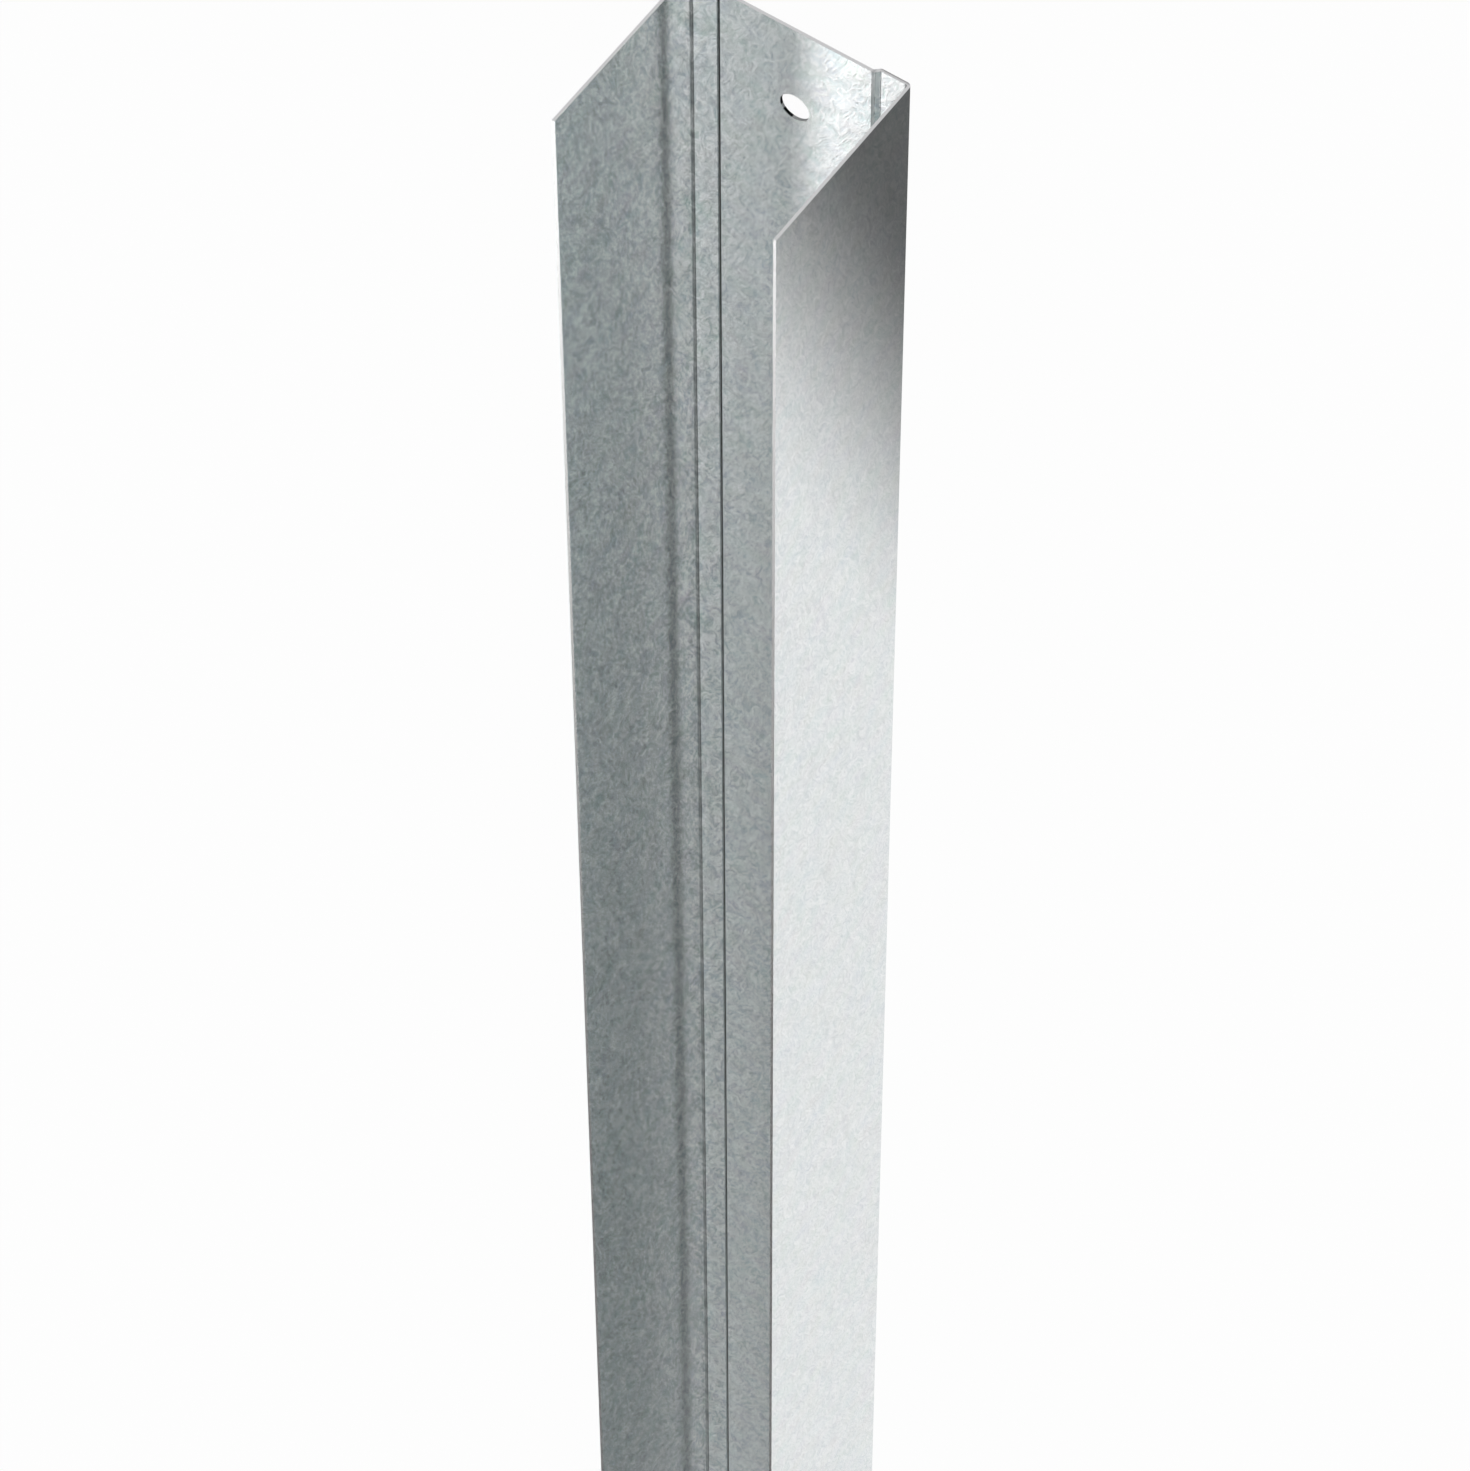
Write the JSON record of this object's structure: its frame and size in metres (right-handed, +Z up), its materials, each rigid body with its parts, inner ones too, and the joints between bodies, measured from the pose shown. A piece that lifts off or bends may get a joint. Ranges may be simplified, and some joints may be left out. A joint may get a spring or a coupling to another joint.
{
  "type": "drywall track",
  "caption": "Plain U-shaped track of thin galvanised steel with a raised middle web and round fixing holes, the floor or ceiling runner of a stud wall.",
  "frame": {"origin": "centre of the length and width, on the level surface that the two side strips of the web rest on", "axes": "+X along the length, +Y across the web, +Z up the flanges, out of the open side"},
  "size_m": [3, 0.045, 0.04],
  "materials": {
    "galvanised_steel": "hot-dip galvanised, small spangle, satin to semi-bright"
  },
  "bodies": {
    "root": {"track": "galvanised_steel"}
  },
  "joints": []
}
